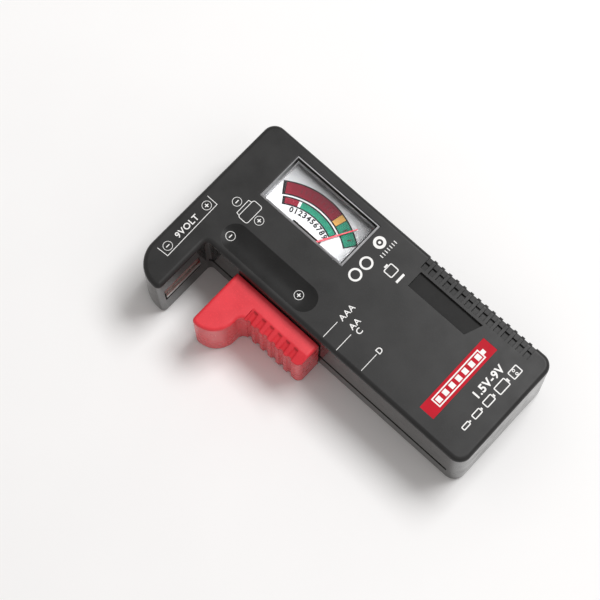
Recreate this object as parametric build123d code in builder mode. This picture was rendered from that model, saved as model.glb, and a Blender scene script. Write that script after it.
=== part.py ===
from build123d import *
from math import radians, tan
import os

# Hand-held analogue battery tester, about 112 x 61.5 x 25 mm over its drafted ends.
# Millimetres, +Z up. The origin is the middle of the flat back, at the height the tester lies on.
# +X runs along the body, from the 9 V arm to the plain end. +Y runs from the slider side to the
# ribbed edge. The arm and the slider's nose point along -Y.

# ---- Case ------------------------------------------------------------------------------------
LENGTH = 110.0
BODY_DEPTH = 41.0
ARM_REACH = 20.5
HEIGHT = 25.0
WALL = 2.0
FLOOR = 1.8
PARTING = 8.0
ARM_WIDTH = 11.5
LEFT = -LENGTH / 2
RIGHT = LENGTH / 2
BACK = (BODY_DEPTH + ARM_REACH) / 2
FRONT = BACK - BODY_DEPTH
TIP = FRONT - ARM_REACH
ARM_INNER = LEFT + ARM_WIDTH
TOP_UNDERSIDE = HEIGHT - WALL

CORNER_RADIUS = 4.0
ARM_TIP_RADIUS = 9.5
ARM_NOSE_RADIUS = 1.7
CREASE_RADIUS = 1.5
TOP_EDGE_RADIUS = 1.4
BOTTOM_EDGE_RADIUS = 1.0
END_FLARE = 0.9
CASE_CORNERS = (
    (LEFT, BACK, CORNER_RADIUS),
    (RIGHT, BACK, CORNER_RADIUS),
    (RIGHT, FRONT, CORNER_RADIUS),
    (ARM_INNER, FRONT, CREASE_RADIUS),
    (ARM_INNER, TIP, ARM_NOSE_RADIUS),
    (LEFT, TIP, ARM_TIP_RADIUS),
)

# ---- Case screws: through the rear cover into posts under the front housing's top wall ---------
SCREW_POSTS = [
    (LEFT + 6.0, FRONT + 35.5),
    (LEFT + 53.0, FRONT + 35.8),
    (LEFT + 103.5, FRONT + 35.0),
    (LEFT + 104.5, FRONT + 11.5),
    (LEFT + 5.8, FRONT - 13.2),
]
POST_RADIUS = 2.8
SCREW_RADIUS = 1.2
SCREW_HEAD_RADIUS = 2.2
SCREW_HEAD_HEIGHT = 1.5
SCREW_HEAD_SEAT = 2.2
SCREW_LENGTH = 14.0
RUNNING_GAP = 0.05

# ---- Slider ------------------------------------------------------------------------------------
SLIDER_LEFT = LEFT + 23.7
SLIDER_RIGHT = LEFT + 56.3
SLIDER_BACK = FRONT - 0.35
SLIDER_FRONT = FRONT - 8.8
NOSE_WIDTH = 9.6
NOSE_TIP = FRONT - 19.9
SLIDER_BOTTOM = 0.4
SLIDER_TOP = 20.5
NOSE_TIP_RADIUS = 7.8
NOSE_CORNER_RADIUS = 1.5
NOSE_CREASE_RADIUS = 2.5
SLIDER_END_RADIUS = 2.0
SLIDER_EDGE_RADIUS = 1.0
SLIDER_ROOF = 1.7
SHOULDER_LEFT = SLIDER_LEFT + 11.0
SHOULDER_REACH = 3.9
SHOULDER_DROP = 1.7
GROOVE_COUNT = 6
GROOVE_PITCH = 3.18
GROOVE_RADIUS = 0.95
GROOVE_LINE = SLIDER_FRONT - 0.2
FIRST_GROOVE = SLIDER_LEFT + 12.5
SHOULDER_SLOPE = SHOULDER_DROP / SHOULDER_REACH
SHOULDER_RISE = (0, 1, SHOULDER_SLOPE * 1.25)

SLOT_LOW = PARTING - 1.0
SLOT_HIGH = PARTING + 1.0
SLOT_END = LEFT + 106.4
TONGUE_LEFT = SLIDER_LEFT + 4.3
TONGUE_RIGHT = SLIDER_LEFT + 28.3
TONGUE_LOW = PARTING - 0.8
TONGUE_HIGH = PARTING + 0.8
TONGUE_END = FRONT + 7.0
CARRIAGE_LINE = FRONT + 4.8
CARRIAGE_TOP = 11.6
CARRIAGE_SCREWS = (TONGUE_LEFT + 7.0, TONGUE_RIGHT - 5.0)
STRAP_THICKNESS = 0.3
STRAP_SEAT = TONGUE_HIGH - STRAP_THICKNESS - 0.05

# ---- Cell contacts -------------------------------------------------------------------------------
LEAF = 0.4
ARM_WINDOW = (FRONT - 18.6, FRONT - 3.8, 9.2, 17.6)
ARM_LEAF_CREST = ARM_INNER + 0.6
NOSE_POCKET = (FRONT - 18.6, FRONT - 2.6, 4.4, 15.6)
NOSE_LEAF_CREST = SLIDER_LEFT - 0.8

# ---- 9 V contacts: a pair at the snap terminals' pitch -------------------------------------------
TERMINAL_PITCH = 12.7
NINE_VOLT_MIDDLE = FRONT + 0.95
NINE_VOLT_WINDOW = (6.4, 5.2, 12.4)
NINE_VOLT_CREST = LEFT - 0.4

# ---- Meter ---------------------------------------------------------------------------------------
WINDOW_LEFT = LEFT + 13.0
WINDOW_RIGHT = LEFT + 45.8
WINDOW_LOW = FRONT + 20.7
WINDOW_HIGH = FRONT + 37.7
WINDOW_GAP = 0.15
WINDOW_TOP = HEIGHT + 0.1
WINDOW_THICKNESS = 1.2
WINDOW_BEVEL = 0.5
FLANGE = 0.9
FLANGE_TOP = TOP_UNDERSIDE

TRAY_LEFT = LEFT + 12.0
TRAY_RIGHT = LEFT + 46.9
TRAY_FRONT = FRONT + 4.9
TRAY_BACK = FRONT + 38.8
TRAY_BOTTOM = 12.2
TRAY_FLOOR = 13.0
TRAY_WALL = 1.1
DIAL_BOTTOM = 21.3
DIAL_TOP = 21.7

PIVOT_X = LEFT + 30.6
PIVOT_Y = FRONT + 14.5
READING = 29.5
PIVOT_RADIUS = 0.3
JEWEL_RADIUS = 1.1
MAGNET_RADIUS = 3.4
MAGNET_Z = (15.1, 18.5)
YOKE_INNER = 6.4
YOKE_OUTER = 8.2
YOKE_Z = (14.6, 19.0)
COIL_Z = (13.9, 19.6)
POINTER_LENGTH = 21.2
POINTER_RISER = 7.6
POINTER_ROOT_Z = 19.6
POINTER_Z = 22.2
POINTER_THICKNESS = 0.25
DIAL_SLOT = (PIVOT_X - 5.6, PIVOT_X + 5.2, PIVOT_Y + 5.7, PIVOT_Y + 8.2)
BRIDGE_Z = (20.3, 21.1)
CORE_LUG_Z = (16.2, 17.4)
HAIRSPRING_TURNS = 4
HAIRSPRING_STEP = 0.28
HAIRSPRING_START = 0.7

# ---- Grip and recesses in the top face -----------------------------------------------------------
RIB_COUNT = 15
RIB_PITCH = 2.78
FIRST_POCKET = LEFT + 63.5
POCKET_WIDTH = 1.7
POCKET_LOW = FRONT + 36.1
POCKET_HIGH = FRONT + 38.6
POCKET_DEPTH = 1.3
GRIP_GROOVE_DEPTH = 0.6
CRADLE_LEFT = LEFT + 12.8
CRADLE_RIGHT = LEFT + 48.3
CRADLE_LINE = FRONT + 6.3
CRADLE_HALF_WIDTH = 4.3
CRADLE_DEPTH = 0.7
THUMB_DEPTH = 0.9
LABEL = (LEFT + 90.0, LEFT + 95.2, FRONT + 5.0, FRONT + 32.6)
LABEL_RECESS = 0.15

# ---- Load resistor board -------------------------------------------------------------------------
BOARD = (LEFT + 62.0, LEFT + 92.0, FRONT + 13.0, FRONT + 31.0)
BOARD_BOTTOM = 3.6
BOARD_TOP = 5.0
BOARD_SCREWS = [(LEFT + 65.5, FRONT + 16.5), (LEFT + 88.5, FRONT + 27.5)]
BOARD_SCREW_RADIUS = 0.9
METER_PILLARS = [(LEFT + 20.0, FRONT + 30.0), (LEFT + 40.0, FRONT + 30.0)]
SPRING_PIN = (LEFT + 5.4, CARRIAGE_LINE)
SPRING_PIN_RADIUS = 0.8
SPRING_PEG = (TONGUE_LEFT + 1.8, CARRIAGE_LINE)
SPRING_PEG_RADIUS = 0.6
SPRING_HEIGHT = 10.4
SPRING_RADIUS = 1.4
SPRING_WIRE = 0.4
WIRE_RADIUS = 0.45


def slab(x0, x1, y0, y1, z0, z1, mode=Mode.ADD):
    """A rectangular block between two corners, in the part being built."""
    with Locations(((x0 + x1) / 2, (y0 + y1) / 2, (z0 + z1) / 2)):
        Box(x1 - x0, y1 - y0, z1 - z0, mode=mode)


def post(x, y, z0, z1, radius, mode=Mode.ADD):
    """An upright round post, or a hole when subtracted."""
    with Locations((x, y, (z0 + z1) / 2)):
        Cylinder(radius, z1 - z0, mode=mode)


def case_outline(inset):
    """The shells' inner plan, this far inside the outer wall, in the sketch being built."""
    left, right = LEFT + inset, RIGHT - inset
    back, front, tip = BACK - inset, FRONT + inset, TIP + inset
    arm = ARM_INNER - inset
    with BuildLine() as outline:
        Polyline(
            (left, back), (right, back), (right, front), (arm, front), (arm, tip), (left, tip),
            close=True,
        )
    make_face(outline.edges())
    round_corner(left, back, CORNER_RADIUS - inset)
    round_corner(right, back, CORNER_RADIUS - inset)
    round_corner(right, front, CORNER_RADIUS - inset)
    round_corner(arm, front, CREASE_RADIUS + inset)
    round_corner(left, tip, ARM_TIP_RADIUS - inset)


def round_corner(x, y, radius):
    """Rounds the sketch corner nearest to a point."""
    fillet(vertices().sort_by_distance((x, y, 0))[0], radius)


def drafted_shell(low, high):
    """A solid L-shaped block between two heights with drafted ends, in the part being built."""
    left, right = LEFT - END_FLARE, RIGHT + END_FLARE
    with BuildSketch(Plane.XY.offset(low)) as plan:
        with BuildLine() as outline:
            Polyline(
                (left, BACK), (right, BACK), (right, FRONT),
                (ARM_INNER, FRONT), (ARM_INNER, TIP), (left, TIP),
                close=True,
            )
        make_face(outline.edges())
    extrude(plan.sketch, amount=high - low)
    for side, end in ((-1, LEFT), (1, RIGHT)):
        foot = end + side * END_FLARE
        with BuildSketch(Plane.XZ.offset(-BACK)) as draft:
            with BuildLine() as section:
                Polyline((foot, 0), (end, HEIGHT), (foot, HEIGHT), close=True)
            make_face(section.edges())
        extrude(draft.sketch, amount=BACK - TIP, mode=Mode.SUBTRACT)
    for x, y, radius in CASE_CORNERS:
        fillet(edges().sort_by_distance((x, y, (low + high) / 2))[0], radius)


def bowed_leaf(foot, crest, low, high, thickness):
    """Section of a bowed spring leaf, in a sketch whose second axis is up."""
    middle = (low + high) / 2
    with BuildLine() as section:
        face = ThreePointArc((foot, low), (crest, middle), (foot, high))
        rear = ThreePointArc((foot + thickness, low), (crest + thickness, middle), (foot + thickness, high))
        Line(face @ 0, rear @ 0)
        Line(face @ 1, rear @ 1)
    make_face(section.edges())


def wire_path(*points):
    """A wire's route: straight runs joined by arcs as large as the shorter run allows."""
    radii = []
    for before, corner, after in zip(points, points[1:], points[2:]):
        arriving = Vector(*corner) - Vector(*before)
        leaving = Vector(*after) - Vector(*corner)
        half_turn = radians(arriving.get_angle(leaving) / 2)
        radii.append(0.45 * min(arriving.length, leaving.length) / tan(half_turn))
    return FilletPolyline(*points, radius=radii)


# ---- Hollows of the two shells -------------------------------------------------------------------
with BuildPart() as front_hollow:
    with BuildSketch(Plane.XY.offset(PARTING)):
        case_outline(WALL)
    extrude(amount=TOP_UNDERSIDE - PARTING)

with BuildPart() as rear_hollow:
    with BuildSketch(Plane.XY.offset(FLOOR)):
        case_outline(WALL)
    extrude(amount=PARTING - FLOOR)


def slider_slot():
    """The slot along the front wall, half in each shell, that the slider's tongue runs in."""
    slab(ARM_INNER + 0.3, SLOT_END, FRONT - 1.0, FRONT + WALL + 0.1, SLOT_LOW, SLOT_HIGH, Mode.SUBTRACT)


def nine_volt_windows():
    """The two openings in the arm's outer wall that the 9 V contacts bow out through."""
    width, low, high = NINE_VOLT_WINDOW
    for side in (-1, 1):
        y = NINE_VOLT_MIDDLE + side * TERMINAL_PITCH / 2
        slab(LEFT - 2.0, LEFT + WALL + 0.1, y - width / 2, y + width / 2, low, high, Mode.SUBTRACT)


# ---- Front housing: the upper shell, with the meter window, the grip and the recesses ------------
with BuildPart() as front_housing:
    drafted_shell(PARTING, HEIGHT)
    fillet(faces().sort_by(Axis.Z)[-1].outer_wire().edges(), TOP_EDGE_RADIUS)
    add(front_hollow.part, mode=Mode.SUBTRACT)
    for x, y in SCREW_POSTS:
        post(x, y, PARTING, TOP_UNDERSIDE, POST_RADIUS)
        post(x, y, PARTING, PARTING + 10.0, SCREW_RADIUS + RUNNING_GAP, Mode.SUBTRACT)
    slider_slot()
    nine_volt_windows()
    slab(
        ARM_INNER - WALL - 0.1, ARM_INNER + 0.1, ARM_WINDOW[0], ARM_WINDOW[1],
        ARM_WINDOW[2], ARM_WINDOW[3], Mode.SUBTRACT,
    )
    slab(WINDOW_LEFT, WINDOW_RIGHT, WINDOW_LOW, WINDOW_HIGH, TOP_UNDERSIDE - 0.1, HEIGHT + 1, Mode.SUBTRACT)
    slab(*LABEL, HEIGHT - LABEL_RECESS, HEIGHT + 1, Mode.SUBTRACT)

    # Grip: pockets in the top face and grooves down the back wall, with a rib between each pair
    for i in range(RIB_COUNT):
        x = FIRST_POCKET + i * RIB_PITCH
        slab(
            x - POCKET_WIDTH / 2, x + POCKET_WIDTH / 2, POCKET_LOW, POCKET_HIGH,
            HEIGHT - POCKET_DEPTH, HEIGHT + 1, Mode.SUBTRACT,
        )
        slab(
            x - POCKET_WIDTH / 2, x + POCKET_WIDTH / 2, POCKET_LOW, BACK + 1,
            HEIGHT - GRIP_GROOVE_DEPTH, HEIGHT + 1, Mode.SUBTRACT,
        )
        slab(
            x - POCKET_WIDTH / 2, x + POCKET_WIDTH / 2, BACK - GRIP_GROOVE_DEPTH, BACK + 1,
            PARTING + 2.0, HEIGHT + 1, Mode.SUBTRACT,
        )

    # Thumb recess beside the grip, with one slanting end
    with BuildSketch(Plane.XY.offset(HEIGHT - THUMB_DEPTH)):
        with BuildLine():
            Polyline(
                (LEFT + 63.7, FRONT + 29.5), (LEFT + 85.2, FRONT + 29.5),
                (LEFT + 87.4, FRONT + 35.2), (LEFT + 63.7, FRONT + 35.2), close=True,
            )
        make_face()
    extrude(amount=2 * THUMB_DEPTH, mode=Mode.SUBTRACT)

    # Shallow round-bottomed cradle along the front edge
    cradle_radius = (CRADLE_HALF_WIDTH**2 + CRADLE_DEPTH**2) / (2 * CRADLE_DEPTH)
    cradle_axis_z = HEIGHT - CRADLE_DEPTH + cradle_radius
    cradle_ends = (CRADLE_LEFT + CRADLE_HALF_WIDTH, CRADLE_RIGHT - CRADLE_HALF_WIDTH)
    with Locations(((cradle_ends[0] + cradle_ends[1]) / 2, CRADLE_LINE, cradle_axis_z)):
        Cylinder(cradle_radius, cradle_ends[1] - cradle_ends[0], rotation=(0, 90, 0), mode=Mode.SUBTRACT)
    for x in cradle_ends:
        with Locations((x, CRADLE_LINE, cradle_axis_z)):
            Sphere(cradle_radius, mode=Mode.SUBTRACT)


# ---- Rear cover: the lower shell, with the screw seats, the board standoffs and the meter pillars -
with BuildPart() as rear_cover:
    drafted_shell(0, PARTING)
    fillet(faces().sort_by(Axis.Z)[0].outer_wire().edges(), BOTTOM_EDGE_RADIUS)
    add(rear_hollow.part, mode=Mode.SUBTRACT)
    for x, y in SCREW_POSTS:
        post(x, y, FLOOR, PARTING, POST_RADIUS)
        post(x, y, 0, PARTING, SCREW_RADIUS + 2 * RUNNING_GAP, Mode.SUBTRACT)
        post(x, y, 0, SCREW_HEAD_SEAT, SCREW_HEAD_RADIUS + 2 * RUNNING_GAP, Mode.SUBTRACT)
    for x, y in METER_PILLARS:
        post(x, y, FLOOR, TRAY_BOTTOM, 2.0)
    for x, y in BOARD_SCREWS:
        post(x, y, FLOOR, BOARD_BOTTOM, 2.0)
        post(x, y, BOARD_BOTTOM - 2.6, BOARD_BOTTOM, BOARD_SCREW_RADIUS + RUNNING_GAP, Mode.SUBTRACT)
    post(*SPRING_PIN, FLOOR, 4.6, 2.0)
    post(*SPRING_PIN, FLOOR, 4.6, SPRING_PIN_RADIUS + RUNNING_GAP, Mode.SUBTRACT)
    slider_slot()
    nine_volt_windows()


def screw(x, y, seat, head_radius, head_height, radius, length):
    """A cross-headed screw pointing up, its head just below the seat, in the part being built."""
    post(x, y, seat - head_height, seat, head_radius)
    post(x, y, seat, seat + length, radius)
    arm = head_radius * 0.6
    blade = head_radius * 0.16
    depth = head_height * 0.55
    face = seat - head_height
    slab(x - arm, x + arm, y - blade, y + blade, face, face + depth, Mode.SUBTRACT)
    slab(x - blade, x + blade, y - arm, y + arm, face, face + depth, Mode.SUBTRACT)


with BuildPart() as case_screws:
    for x, y in SCREW_POSTS:
        screw(x, y, SCREW_HEAD_SEAT, SCREW_HEAD_RADIUS, SCREW_HEAD_HEIGHT, SCREW_RADIUS, SCREW_LENGTH)


# ---- Red label panel, set into the top face ------------------------------------------------------
with BuildPart() as label_plate:
    slab(*LABEL, HEIGHT - LABEL_RECESS, HEIGHT)
    fillet(edges().filter_by(Axis.Z), 0.15)


# ---- Slider knob: thumb bar with a grooved front, the nose, and the tongue through the slot --------
with BuildPart() as slider_knob:
    with BuildSketch(Plane.XY.offset(SLIDER_BOTTOM)):
        with BuildLine():
            Polyline(
                (SLIDER_LEFT, SLIDER_BACK), (SLIDER_RIGHT, SLIDER_BACK), (SLIDER_RIGHT, SLIDER_FRONT),
                (SLIDER_LEFT + NOSE_WIDTH, SLIDER_FRONT), (SLIDER_LEFT + NOSE_WIDTH, NOSE_TIP),
                (SLIDER_LEFT, NOSE_TIP), close=True,
            )
        make_face()
        round_corner(SLIDER_LEFT, NOSE_TIP, NOSE_CORNER_RADIUS)
        round_corner(SLIDER_LEFT + NOSE_WIDTH, NOSE_TIP, NOSE_TIP_RADIUS)
        round_corner(SLIDER_LEFT + NOSE_WIDTH, SLIDER_FRONT, NOSE_CREASE_RADIUS)
        round_corner(SLIDER_RIGHT, SLIDER_FRONT, SLIDER_END_RADIUS)
    extrude(amount=SLIDER_TOP - SLIDER_BOTTOM)
    top_edges = faces().sort_by(Axis.Z)[-1].outer_wire().edges()
    back_edge = top_edges.sort_by(Axis.Y)[-1]
    fillet([e for e in top_edges if e is not back_edge], SLIDER_EDGE_RADIUS)

    # Sloping shoulder along the thumb bar, and the grooves that run up the front and over it
    shoulder_front = SLIDER_TOP - SHOULDER_DROP
    shoulder_back = SLIDER_FRONT + SHOULDER_REACH
    with BuildSketch(Plane.YZ.offset(SHOULDER_LEFT)) as wedge:
        with BuildLine():
            Polyline(
                (shoulder_back, SLIDER_TOP), (SLIDER_FRONT - 1, shoulder_front - SHOULDER_SLOPE),
                (SLIDER_FRONT - 1, SLIDER_TOP + 1), (shoulder_back, SLIDER_TOP + 1),
                close=True,
            )
        make_face()
    extrude(wedge.sketch, amount=SLIDER_RIGHT + 1 - SHOULDER_LEFT, mode=Mode.SUBTRACT)
    for i in range(GROOVE_COUNT):
        x = FIRST_GROOVE + i * GROOVE_PITCH
        post(x, GROOVE_LINE, SLIDER_BOTTOM - 1, shoulder_front, GROOVE_RADIUS, Mode.SUBTRACT)
        bend = Plane((x, GROOVE_LINE, shoulder_front), x_dir=(1, 0, 0), z_dir=SHOULDER_RISE)
        with BuildSketch(bend) as round_end:
            Circle(GROOVE_RADIUS)
        extrude(round_end.sketch, amount=SHOULDER_REACH, mode=Mode.SUBTRACT)
        with Locations((x, GROOVE_LINE, shoulder_front)):
            Sphere(GROOVE_RADIUS, mode=Mode.SUBTRACT)

    # Cored out from below, with a pocket for the contact in the nose and the tongue through the slot
    ceiling = SLIDER_TOP - SLIDER_ROOF
    slab(
        SLIDER_LEFT + 3.1, SLIDER_LEFT + 7.6, NOSE_TIP + 4.5, SLIDER_BACK - 2.6,
        0, ceiling, Mode.SUBTRACT,
    )
    slab(
        SLIDER_LEFT + 11.6, SLIDER_RIGHT - 1.8, SLIDER_FRONT + 2.4, SLIDER_BACK - 1.7,
        0, ceiling - SHOULDER_DROP, Mode.SUBTRACT,
    )
    slab(
        SLIDER_LEFT - 1, SLIDER_LEFT + 1.3, NOSE_POCKET[0], NOSE_POCKET[1],
        NOSE_POCKET[2], NOSE_POCKET[3], Mode.SUBTRACT,
    )
    slab(TONGUE_LEFT, TONGUE_RIGHT, SLIDER_BACK - 0.5, TONGUE_END, TONGUE_LOW, TONGUE_HIGH)
    strap_right = SLIDER_LEFT + 7.0
    slab(SLIDER_LEFT, strap_right, FRONT - 3.1, SLIDER_BACK, STRAP_SEAT, TONGUE_HIGH, Mode.SUBTRACT)
    slab(
        TONGUE_LEFT - 1, strap_right, SLIDER_BACK - 1, TONGUE_END + 1,
        STRAP_SEAT, TONGUE_HIGH, Mode.SUBTRACT,
    )
    for x in CARRIAGE_SCREWS:
        post(x, CARRIAGE_LINE, TONGUE_LOW, TONGUE_HIGH, 0.9, Mode.SUBTRACT)


with BuildPart() as slider_contact:
    with BuildSketch(Plane.XZ.offset(-(NOSE_POCKET[1] - 0.4))):
        bowed_leaf(SLIDER_LEFT + 0.9, NOSE_LEAF_CREST, NOSE_POCKET[2] + 0.4, NOSE_POCKET[3] - 0.4, LEAF)
    extrude(amount=NOSE_POCKET[1] - NOSE_POCKET[0] - 0.8)
    strap = (TONGUE_HIGH - STRAP_THICKNESS, TONGUE_HIGH)
    slab(SLIDER_LEFT - 0.5, SLIDER_LEFT + 6.9, FRONT - 3.0, FRONT - 1.0, *strap)
    slab(TONGUE_LEFT + 0.4, SLIDER_LEFT + 6.9, FRONT - 1.1, FRONT + 6.4, *strap)


with BuildPart() as slider_carriage:
    slab(TONGUE_LEFT + 3.6, TONGUE_RIGHT - 1.0, FRONT + WALL + 0.4, TONGUE_END, TONGUE_HIGH, CARRIAGE_TOP)
    slab(SPRING_PEG[0] - 1.2, TONGUE_LEFT + 3.7, FRONT + 3.4, FRONT + 6.2, TONGUE_HIGH, TONGUE_HIGH + 0.8)
    post(*SPRING_PEG, TONGUE_HIGH, CARRIAGE_TOP, SPRING_PEG_RADIUS)
    for x in CARRIAGE_SCREWS:
        post(x, CARRIAGE_LINE, TONGUE_HIGH, CARRIAGE_TOP - 0.5, 0.85, Mode.SUBTRACT)


with BuildPart() as carriage_screws:
    for x in CARRIAGE_SCREWS:
        screw(x, CARRIAGE_LINE, TONGUE_LOW, 1.5, 0.8, 0.8, 3.6)


# ---- Return spring: a close-wound tension spring, drawn as one ridged tube with an eye at each end --
SPRING_START = SPRING_PIN[0] + 1.6
SPRING_END = SPRING_PEG[0] - 1.4
SPRING_COILS = 28
SPRING_EYE = 1.25
SPRING_NECK = 1.15
with BuildPart() as return_spring:
    pitch = (SPRING_END - SPRING_START) / SPRING_COILS
    crown = SPRING_HEIGHT + SPRING_RADIUS
    valley = crown - SPRING_WIRE / 2
    with BuildSketch(Plane.XZ.offset(-CARRIAGE_LINE)):
        with BuildLine():
            for i in range(SPRING_COILS):
                x = SPRING_START + i * pitch
                ThreePointArc((x, valley), (x + pitch / 2, crown), (x + pitch, valley))
            Polyline(
                (SPRING_END, valley), (SPRING_END, crown - SPRING_WIRE),
                (SPRING_START, crown - SPRING_WIRE), (SPRING_START, valley),
            )
        make_face()
    revolve(axis=Axis((0, CARRIAGE_LINE, SPRING_HEIGHT), (1, 0, 0)))
    for x in (SPRING_PIN[0], SPRING_PEG[0]):
        with Locations((x, CARRIAGE_LINE, SPRING_HEIGHT)):
            Torus(SPRING_EYE, SPRING_WIRE / 2)
    for x0, x1 in ((SPRING_START - 0.6, SPRING_START + 0.3), (SPRING_END - 0.3, SPRING_END + 0.5)):
        slab(
            x0, x1, CARRIAGE_LINE - SPRING_NECK, CARRIAGE_LINE + SPRING_NECK,
            SPRING_HEIGHT - SPRING_WIRE / 2, SPRING_HEIGHT + SPRING_WIRE / 2,
        )


with BuildPart() as spring_terminal:
    post(*SPRING_PIN, FLOOR, CARRIAGE_TOP, SPRING_PIN_RADIUS)
    post(*SPRING_PIN, 4.6, 5.2, 1.9)


# ---- Cell contact in the arm: a bowed leaf with a tail up and down behind the wall -----------------
with BuildPart() as cell_negative_contact:
    foot = ARM_INNER - WALL - 0.2
    low, high = ARM_WINDOW[2] + 0.2, ARM_WINDOW[3] - 0.2
    with BuildSketch(Plane.XZ.offset(-(ARM_WINDOW[1] - 0.3))):
        bowed_leaf(foot - LEAF, ARM_LEAF_CREST - LEAF, low, high, LEAF)
    extrude(amount=ARM_WINDOW[1] - ARM_WINDOW[0] - 0.6)
    slab(foot - LEAF, foot, ARM_WINDOW[0] + 0.3, ARM_WINDOW[1] - 0.3, high - 0.05, high + 2.0)
    slab(foot - LEAF, foot, ARM_WINDOW[0] + 0.3, ARM_WINDOW[1] - 0.3, FLOOR + 0.6, low + 0.05)


def nine_volt_contact(side):
    """One 9 V contact, in the part being built: a plate behind the wall, bowed out through its window."""
    y = NINE_VOLT_MIDDLE + side * TERMINAL_PITCH / 2
    half = NINE_VOLT_WINDOW[0] / 2 - 0.4
    low, high = NINE_VOLT_WINDOW[1] + 0.2, NINE_VOLT_WINDOW[2] - 0.2
    foot = LEFT + WALL + 0.3
    with BuildSketch(Plane.XZ.offset(-(y + half))) as bow:
        bowed_leaf(foot, NINE_VOLT_CREST, low, high, LEAF)
    extrude(bow.sketch, amount=2 * half)
    slab(foot, foot + LEAF, y - half, y + half, high - 0.05, high + 2.0)
    slab(foot, foot + LEAF, y - half, y + half, FLOOR + 0.4, low + 0.05)


with BuildPart() as nine_volt_positive_contact:
    nine_volt_contact(1)

with BuildPart() as nine_volt_negative_contact:
    nine_volt_contact(-1)


# ---- Meter: tray, yoke ring, core magnet, moving coil on jewels, hairsprings, dial and window -------
with BuildPart() as meter_tray:
    slab(TRAY_LEFT, TRAY_RIGHT, TRAY_FRONT, TRAY_BACK, TRAY_BOTTOM, DIAL_BOTTOM)
    slab(
        TRAY_LEFT + TRAY_WALL, TRAY_RIGHT - TRAY_WALL, TRAY_FRONT + TRAY_WALL, TRAY_BACK - TRAY_WALL,
        TRAY_FLOOR, DIAL_BOTTOM + 1, Mode.SUBTRACT,
    )
    with Locations((PIVOT_X, PIVOT_Y, (TRAY_FLOOR + YOKE_Z[0]) / 2)):
        Cylinder(YOKE_OUTER, YOKE_Z[0] - TRAY_FLOOR)
        Cylinder(YOKE_INNER, YOKE_Z[0] - TRAY_FLOOR, mode=Mode.SUBTRACT)
    slab(PIVOT_X - 1.8, PIVOT_X + 1.8, TRAY_FRONT + 0.5, TRAY_FRONT + 1.5, TRAY_FLOOR, BRIDGE_Z[0])
    post(PIVOT_X, PIVOT_Y, TRAY_BOTTOM, TRAY_FLOOR, JEWEL_RADIUS + RUNNING_GAP, Mode.SUBTRACT)


with BuildPart() as yoke_ring:
    with Locations((PIVOT_X, PIVOT_Y, sum(YOKE_Z) / 2)):
        Cylinder(YOKE_OUTER - 0.1, YOKE_Z[1] - YOKE_Z[0])
        Cylinder(YOKE_INNER, YOKE_Z[1] - YOKE_Z[0], mode=Mode.SUBTRACT)


with BuildPart() as core_magnet:
    post(PIVOT_X, PIVOT_Y, *MAGNET_Z, MAGNET_RADIUS)


# Two brass lugs hold the magnet to the yoke, fore and aft, out of the coil's sweep
with BuildPart() as core_lugs:
    lug_reach = YOKE_INNER + 0.5
    slab(PIVOT_X - 0.9, PIVOT_X + 0.9, PIVOT_Y - lug_reach, PIVOT_Y + lug_reach, *CORE_LUG_Z)
    post(PIVOT_X, PIVOT_Y, *CORE_LUG_Z, MAGNET_RADIUS, Mode.SUBTRACT)
    post(PIVOT_X, PIVOT_Y, *CORE_LUG_Z, YOKE_INNER, Mode.INTERSECT)


with BuildPart() as lower_jewel:
    post(PIVOT_X, PIVOT_Y, TRAY_BOTTOM, TRAY_FLOOR, JEWEL_RADIUS)
    post(PIVOT_X, PIVOT_Y, TRAY_BOTTOM + 0.3, TRAY_FLOOR, PIVOT_RADIUS + RUNNING_GAP, Mode.SUBTRACT)


with BuildPart() as upper_bridge:
    slab(PIVOT_X - 1.8, PIVOT_X + 1.8, TRAY_FRONT + TRAY_WALL, PIVOT_Y + 1.8, *BRIDGE_Z)
    fillet(edges().filter_by(Axis.Z).group_by(Axis.Y)[-1], 1.5)
    post(PIVOT_X, PIVOT_Y, *BRIDGE_Z, JEWEL_RADIUS + RUNNING_GAP, Mode.SUBTRACT)


with BuildPart() as upper_jewel:
    post(PIVOT_X, PIVOT_Y, *BRIDGE_Z, JEWEL_RADIUS)
    post(PIVOT_X, PIVOT_Y, BRIDGE_Z[0], BRIDGE_Z[0] + 0.5, PIVOT_RADIUS + RUNNING_GAP, Mode.SUBTRACT)


def hairspring(height):
    """A flat spiral of half circles, each a step larger, in the part being built."""
    radius = HAIRSPRING_START
    start = x = PIVOT_X + radius
    direction = -1
    with BuildLine() as spiral:
        for _ in range(2 * HAIRSPRING_TURNS):
            across = x + direction * 2 * radius
            bulge = (x + across) / 2, PIVOT_Y - direction * radius, height
            ThreePointArc((x, PIVOT_Y, height), bulge, (across, PIVOT_Y, height))
            x = across
            direction = -direction
            radius += HAIRSPRING_STEP / 2
    with BuildSketch(Plane((start, PIVOT_Y, height), x_dir=(1, 0, 0), z_dir=(0, 1, 0))) as section:
        Rectangle(0.1, 0.2)
    sweep(section.sketch, path=spiral.wire())


with BuildPart() as upper_hairspring:
    hairspring(20.12)

with BuildPart() as lower_hairspring:
    hairspring(13.5)


# The pointer's hand is drawn at its reading; the coil lies square across it
with BuildPart() as coil_former:
    with Locations(Location((PIVOT_X, PIVOT_Y, sum(COIL_Z) / 2), (0, 0, -READING))):
        Box(9.0, 2.6, 4.5)
        Box(8.4, 2.7, 3.9, mode=Mode.SUBTRACT)


with BuildPart() as coil_winding:
    with Locations(Location((PIVOT_X, PIVOT_Y, sum(COIL_Z) / 2), (0, 0, -READING))):
        Box(10.6, 2.2, COIL_Z[1] - COIL_Z[0])
        Box(9.0, 2.3, 4.5, mode=Mode.SUBTRACT)


with BuildPart() as lower_pivot:
    post(PIVOT_X, PIVOT_Y, TRAY_BOTTOM + 0.4, COIL_Z[0], PIVOT_RADIUS)

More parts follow.
